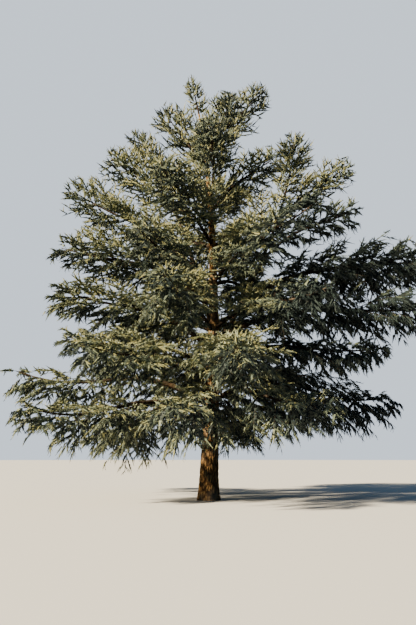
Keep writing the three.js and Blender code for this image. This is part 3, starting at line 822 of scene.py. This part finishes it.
def spray_tree(choices):
    """Shoots clad in needles: a shoot on each point, aimed and sized by what the point keeps."""
    kinds = {label: "Float" for label in NEEDLES_GIVEN}
    tree, given = new_tree("shoots_clad_in_needles", {**kinds, "Needles": "Int", "Seed": "Int"})
    aimed = turned_to(tree, "aim", "Z")
    aimed = turned_to(tree, "fall", "X", pivot="Z", Rotation=aimed)
    choice = {"Min_002": 0, "Max_002": SHOOT_SHAPES - 1, "Seed": given["Seed"]}
    choice = made(tree, "FunctionNodeRandomValue", "Value_002", choice, data_type="INT")
    size = read(tree, "size", "FLOAT")
    thick = maths(tree, "MULTIPLY", size, read(tree, "full", "FLOAT"))
    shoots = placed_on(tree, given["Geometry"], shoot_shapes(tree, given), aimed, (thick, thick, size),
                       {"Pick Instance": True, "Instance Index": choice})
    end_tree(tree, shoots, choices)
    return tree


def shoot_shapes(tree, given):
    """A few shoots that differ in their needles, as instances to pick from."""
    index = made(tree, "GeometryNodeInputIndex", "Index")
    needle = needle_blade(tree, given)
    share = maths(tree, "DIVIDE", index, given["Needles"])
    axis = made(tree, "GeometryNodeMeshLine", "Mesh", {"Count": given["Needles"]})
    axis = moved(tree, axis, triple(tree, bent(tree, given, share), 0.0, share))
    # the packed cone is marked inner so that it takes a darker tint: painted shade
    marked = {"Geometry": packed_needles(tree, given), "Name": "inner", "Value": 1}
    packed = made(
        tree, "GeometryNodeStoreNamedAttribute", "Geometry", marked, data_type="INT", domain="FACE"
    )
    stock = add_node(tree, "GeometryNodeJoinGeometry")
    for number in range(SHOOT_SHAPES):
        wobble = {**NEEDLES_VARY, "Seed": maths(tree, "ADD", given["Seed"], number)}
        wobble = made(tree, "FunctionNodeRandomValue", "Value_001", wobble, data_type="FLOAT")
        lean = maths(tree, "SUBTRACT", maths(tree, "MULTIPLY", given["Opening"], wobble), math.pi / 2)
        turn = maths(tree, "ADD", maths(tree, "MULTIPLY", index, math.radians(TURN_PER_TWIG)), wobble)
        angles = {"Euler": triple(tree, 0.0, lean, turn)}
        rotation = made(tree, "FunctionNodeEulerToRotation", "Rotation", angles)
        clad = placed_on(tree, axis, needle, rotation, (wobble, wobble, 1.0))
        shoot = add_node(tree, "GeometryNodeJoinGeometry")
        tree.links.new(packed, shoot.inputs[0])
        tree.links.new(clad, shoot.inputs[0])
        shoot = add_node(tree, "GeometryNodeGeometryToInstance", {"Geometry": shoot.outputs[0]})
        tree.links.new(shoot.outputs[0], stock.inputs[0])
    return stock.outputs[0]


def needle_blade(tree, given):
    """One needle as a slim triangle along +X, its root at the origin."""
    # the circle's three corners lie at x 1, -0.5 and -0.5, so its root is moved to x 0
    blade = made(tree, "GeometryNodeMeshCircle", "Mesh", {"Vertices": 3, "Radius": 1.0}, fill_type="NGON")
    unit_sized = {"Translation": (1 / 3, 0, 0), "Scale": (1 / 1.5, 1 / math.sqrt(3), 1)}
    blade = made(tree, "GeometryNodeTransform", "Geometry", {"Geometry": blade, **unit_sized})
    size = triple(tree, given["Needle Length"], given["Needle Width"], 1.0)
    return made(tree, "GeometryNodeTransform", "Geometry", {"Geometry": blade, "Scale": size})


def packed_needles(tree, given):
    """The needles that lie close round a shoot, as a slim cone that bends with it."""
    sizes = {"Vertices": 3, "Radius Top": 0.0, "Radius Bottom": 1.0, "Depth": 1.0}
    cone = made(tree, "GeometryNodeMeshCone", "Mesh", sizes, fill_type="NONE")
    place = made(tree, "GeometryNodeInputPosition", "Position")
    place = add_node(tree, "ShaderNodeSeparateXYZ", {"Vector": place}).outputs
    aside, across = (maths(tree, "MULTIPLY", place[way], given["Packed Radius"]) for way in "XY")
    aside = maths(tree, "ADD", aside, bent(tree, given, place["Z"]))
    return moved(tree, cone, triple(tree, aside, across, place["Z"]))


def mesh_with(name, points, edges, attributes):
    """A mesh of loose points or paths that keeps named values at its points."""
    mesh = bpy.data.meshes.new(name)
    mesh.vertices.add(len(points))
    mesh.vertices.foreach_set("co", np.asarray(points, np.float32).ravel())
    if edges is not None:
        mesh.edges.add(len(edges))
        mesh.edges.foreach_set("vertices", np.asarray(edges, np.int32).ravel())
    for label, (kind, values) in attributes.items():
        field = "vector" if kind == "FLOAT_VECTOR" else "value"
        dtype = np.int32 if kind == "INT" else np.float32
        store = mesh.attributes.new(label, kind, "POINT")
        store.data.foreach_set(field, np.asarray(values, dtype).ravel())
    mesh.update()
    return mesh


def run_tree(tree, source, name, **settings):
    """Runs a tree on a source mesh and keeps the result as a plain mesh."""
    carrier = placed(name + "_source", source)
    modifier = carrier.modifiers.new("growth", "NODES")
    modifier.node_group = tree
    for item in tree.interface.items_tree:
        if item.in_out == "INPUT" and item.name in settings:
            modifier[item.identifier] = settings[item.name]
    evaluated = carrier.evaluated_get(bpy.context.evaluated_depsgraph_get())
    mesh = bpy.data.meshes.new_from_object(evaluated)
    carrier.modifiers.remove(modifier)
    bpy.data.objects.remove(carrier)
    mesh.name = name
    for label in ("kind", "inner", "radius", "aim", "fall", "size", "full"):
        if label in mesh.attributes:
            mesh.attributes.remove(mesh.attributes[label])
    return mesh


def add_piece(name, mesh, nodes):
    piece = placed(name, mesh)
    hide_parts(*nodes)
    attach(piece, "root")


# Bark meshes

WAVER = dict(round=1.7, along=0.8, width=0.2)  # how the furrows waver, in plates
PLATE_STRETCH = 3.2  # how much longer than wide plates are
FURROW_STEEPNESS = 2.6
FULL_RELIEF = 4  # where a limb's radius is less than so many times the furrows' depth, they get shallower


def ridge_at(x, y, z, size):
    """Height of the bark's relief, from 0 in a furrow to 1 on a plate."""
    around, along = WAVER["round"], WAVER["along"]
    waver = noise.noise(Vector((x * around, y * around, z * along)) / size)
    place = Vector((x + WAVER["width"] * size * waver, y, z / PLATE_STRETCH)) / size
    near, next_near = noise.voronoi(place)[0][:2]
    return min(1.0, FURROW_STEEPNESS * (next_near - near))


def bark_tube(name, centre, across, over, radius, size, depth):
    """A closed tube with the bark's relief round a row of centres, one for each ring."""
    rings, sides = len(centre), radius.shape[1]
    angle = round_angles(sides)
    ridge = np.zeros((rings, sides))
    length = np.concatenate([[0], np.cumsum(np.linalg.norm(np.diff(centre, axis=0), axis=1))])
    for i in range(rings):
        for j in range(sides):
            r = radius[i, j]
            ridge[i, j] = ridge_at(r * math.cos(angle[j]), r * math.sin(angle[j]), length[i], size)
    out = radius + depth * (ridge - 1) * np.minimum(1, radius / (FULL_RELIEF * depth))
    points = (
        centre[:, None]
        + across[:, None] * (out * np.cos(angle))[..., None]
        + over[:, None] * (out * np.sin(angle))[..., None]
    ).reshape(-1, 3)
    points = np.concatenate([points, centre[[0]], centre[[-1]]])
    edges = [(j, (j + 1) % sides) for j in range(sides)]
    faces = [(i + j, i + k, i + k + sides, i + j + sides)
             for i in range(0, (rings - 1) * sides, sides) for j, k in edges]
    last = (rings - 1) * sides
    for j, k in edges:
        faces += [(rings * sides, k, j), (rings * sides + 1, last + j, last + k)]
    mesh = bpy.data.meshes.new(name)
    mesh.from_pydata(points.tolist(), [], faces)
    furrow = mesh.attributes.new("furrow", "FLOAT", "POINT")
    furrow.data.foreach_set("value", np.append(ridge.ravel(), [1, 1]).astype(np.float32))
    mesh.polygons.foreach_set("use_smooth", [True] * len(faces))
    return mesh


def trunk_mesh():
    height = TRUNK_TIP * np.linspace(0, 1, TRUNK_RINGS + 1) ** RING_CROWDING
    angle = round_angles(TRUNK_SIDES)
    lobes = 1 + FLARE_LOBE_DEPTH * np.cos(FLARE_LOBES * angle)
    radius = trunk_radius(height)[:, None] + FLARE * lobes * np.exp(-height / FLARE_HEIGHT)[:, None]
    right, back = np.eye(3)[:2, None]
    mesh = bark_tube("trunk", trunk_centre(height), right, back, radius, **TRUNK_RELIEF)
    mesh.materials.append(TRUNK_BARK)
    return mesh


def bough_mesh(mass, name):
    rings = int(mass["length"] * mass["start"] * BOUGH_RINGS_PER_METRE)
    t = np.linspace(0, mass["start"] + LIMB_OVERLAP, rings + 1)
    _, across, over = crossing(mass["line"], t)
    collar = 1 + COLLAR * np.exp(-mass["length"] * t / COLLAR_LENGTH)
    radius = np.repeat((mass["radius"](t) * collar)[:, None], BOUGH_SIDES, 1)
    mesh = bark_tube(name, mass["line"](t), over, across, radius, **BOUGH_RELIEF)
    mesh.materials.append(BOUGH_BARK)
    return mesh


# Foliage pieces


def paths_of(member, part):
    """Points, edges, radii and kinds of a mass's stem, branchlets or twigs as paths of a few joints."""
    wood = WOODS[part]
    if part == "stem":
        mass = member["mass"]
        t = np.linspace(mass["start"], STEM_END, wood["joints"])
        points, radii = mass["line"](t), mass["radius"](t)[None]
    else:
        shoots, steps = member[part], np.linspace(0, 1, wood["joints"])
        points = np.stack([shoots.at(t) for t in steps], 1)
        radii = with_length(wood, shoots.length)[:, None] * (1 - (1 - TIP_WOOD) * steps)
    count, joints = radii.shape
    first = np.arange(count)[:, None] * joints + np.arange(joints - 1)
    edges = np.stack([first, first + 1], -1).reshape(-1, 2)
    return points.reshape(-1, 3), edges, radii.ravel(), np.full(count * joints, wood["kind"])


def wood_mesh(part, members, tree):
    points, edges, radii, kinds = zip(*(paths_of(member, part) for member in members))
    starts = np.cumsum([0] + [len(p) for p in points[:-1]])
    edges = np.concatenate([e + start for e, start in zip(edges, starts)])
    kept = {"radius": ("FLOAT", np.concatenate(radii)), "kind": ("INT", np.concatenate(kinds))}
    source = mesh_with(part + "_paths", np.concatenate(points), edges, kept)
    return run_tree(tree, source, part, Sides=WOODS[part]["sides"])


def tint_of(index, mass, shoots, **rest):
    """Which needles a shoot bears: dark inside the mass, partly as older needles and partly as painted
    shade, pale at its rim, and each twig a little apart, with painted light and shade by direction, side
    and height on top.
    """
    tips = shoots.at(1)
    # darker inside the mass: partly older needles, partly painted shade
    out = np.clip(outness(mass, tips)[0], 0, 1)
    own = draw(index, shoots.keys, TINT_DRAW)
    shade = shaded_side(tips)
    height = tips[:, 2]
    # shoots that point up take paler needles and hanging ones darker: painted light from above
    raised_painted_light = shoots.direction[:, 2] - TINT["usual_lift"] * np.interp(height, *LIFTS)
    value = TINT["out"] * out + TINT["own"] * own + TINT["raised_painted_light"] * raised_painted_light
    # the crown's shaded right side takes darker needles: painted shade
    value = value + TINT["start"] + TINT["shade"] * shade
    # paler low on the crown and darker at its top: painted light
    value = value + np.interp(height, *TINT_BY_HEIGHT)
    kinds = np.array([SHADED, DEEP, MIDDLE, GLAUCOUS])[np.digitize(value, TINT_STEPS)]
    share = np.interp(height, *OLIVE_SHARES) + OLIVE_IN_SHADE * shade
    olive = draw(index, shoots.keys, OLIVE_DRAW) < share
    return np.where((kinds >= MIDDLE) & olive, OLIVE_GREEN, kinds)


def fullness(mass, shoots, **rest):
    """How thickly each shoot is clad: most near the stem, where the mass has to close."""
    out = outness(mass, shoots.start)[0]
    inside = np.clip(1 - out / INNER_SHOOTS["within"], 0, 1)
    return 1 + (INNER_SHOOTS["fuller"] - 1) * np.sqrt(inside)


def merge_wood(meshes, name):
    """Joins meshes that share their materials into the first of them."""
    objects = [placed(name, mesh) for mesh in meshes]
    with bpy.context.temp_override(active_object=objects[0], selected_editable_objects=objects):
        bpy.ops.object.join()
    mesh = objects[0].data
    bpy.data.objects.remove(objects[0])
    return mesh


def batches(grown):
    """The masses of a tier in runs whose needles stay within one piece."""
    runs, count = [[]], 0
    for member in grown:
        shoots = len(member["shoots"].length)
        count += shoots
        if count > MOST_SHOOTS:
            runs.append([])
            count = shoots
        runs[-1].append(member)
    return runs


def nodes_of(members):
    return ["foliage_" + member["mass"]["name"] for member in members]


def wood_piece(name, members, tree):
    meshes = [wood_mesh(part, members, tree) for part in WOODS]
    add_piece(name, merge_wood(meshes, name), nodes_of(members))


def needle_piece(name, members, tree):
    shoots = join_shoots([member["shoots"] for member in members])
    kept = {
        "aim": ("FLOAT_VECTOR", shoots.direction),
        "fall": ("FLOAT_VECTOR", np.cross(shoots.direction, np.cross(shoots.direction, UP))),
        "size": ("FLOAT", shoots.length),
        "kind": ("INT", np.concatenate([tint_of(**member) for member in members])),
        "full": ("FLOAT", np.concatenate([fullness(**member) for member in members])),
    }
    source = mesh_with("shoots", shoots.start, None, kept)
    mesh = run_tree(tree, source, name, Seed=len(name), **NEEDLES_GIVEN)
    add_piece(name, mesh, nodes_of(members))


def foliage(masses):
    find_neighbours(masses)
    rows = limb_rows(masses)
    tubes = wood_tree([BOUGH_BARK, TWIG_BARK])
    sprays = spray_tree(NEEDLES)
    tiers = {}
    for index, mass in enumerate(masses):
        tiers.setdefault(mass["name"].split("_")[0], []).append(grow_mass(mass, index, rows))
    for tier, grown in tiers.items():
        for number, members in enumerate(batches(grown)):
            name = f"{tier}_{number + 1}" if number else tier
            wood_piece("twigs_" + name, members, tubes)
            needle_piece("needles_" + name, members, sprays)


def limbs(masses):
    add_piece("bark_trunk", trunk_mesh(), ["trunk"])
    for mass in masses:
        if mass["start"] > 0:
            node = mass["name"] if mass["name"].startswith("leader") else "bough_" + mass["name"]
            add_piece("bark_" + mass["name"], bough_mesh(mass, node), [node])


# Floor, lights and camera

FLOOR = dict(radius=400.0, sides=64, colour=(0.72, 0.73, 0.75))
EYE = (0.0, -19.76, 1.6)
LOOK_UP = 17.55  # degrees above level
LENS = 26.5
FARTHEST = 1000  # that the camera sees
KEY = dict(colour=(1.0, 0.82, 0.54), strength=18, azimuth=205, elevation=25, softness=3)
FILL = dict(colour=(0.42, 0.68, 1.0), strength=0.6, azimuth=270, elevation=70, softness=180)
BACKDROP = dict(colour=(0.78, 0.88, 1.0), strength=1.15)


def add_lamp(name, colour, strength, azimuth, elevation, softness):
    """A sun lamp that shines from a direction, in degrees, as softly as its angle is wide."""
    lamp = placed(name, bpy.data.lights.new(name, "SUN"))
    lamp.data.color = colour
    lamp.data.energy = strength
    lamp.data.angle = math.radians(softness)
    turn, rise = math.radians(azimuth), math.radians(elevation)
    level = math.cos(rise)
    source = Vector((math.cos(turn) * level, math.sin(turn) * level, math.sin(rise)))
    lamp.rotation_euler = source.to_track_quat("Z", "Y").to_euler()


def studio():
    mesh = bpy.data.meshes.new("floor")
    edge = [(FLOOR["radius"] * math.cos(a), FLOOR["radius"] * math.sin(a), 0.0)
            for a in round_angles(FLOOR["sides"])]
    mesh.from_pydata(edge, [], [list(range(len(edge)))])
    floor = placed("floor", mesh)
    material, principled = shader("pale_floor", roughness=0.9)
    principled.inputs["Base Color"].default_value = (*FLOOR["colour"], 1)
    mesh.materials.append(material)

    world = bpy.data.worlds.new("pale_sky")
    world.use_nodes = True
    background = world.node_tree.nodes["Background"]
    background.inputs["Color"].default_value = (*BACKDROP["colour"], 1)
    background.inputs["Strength"].default_value = BACKDROP["strength"]
    # the backdrop is bright to look at, and the lamps alone light the tree
    world.cycles_visibility.diffuse = False
    world.cycles_visibility.glossy = False
    floor.visible_diffuse = False
    bpy.context.scene.world = world
    add_lamp("key_light", **KEY)
    add_lamp("fill_light", **FILL)

    camera = placed("camera", bpy.data.cameras.new("camera"))
    camera.location = EYE
    camera.rotation_euler = (math.radians(90 + LOOK_UP), 0, 0)
    camera.data.lens = LENS
    camera.data.clip_end = FARTHEST
    bpy.context.scene.camera = camera


studio()
masses = make_masses()
limbs(masses)
foliage(masses)
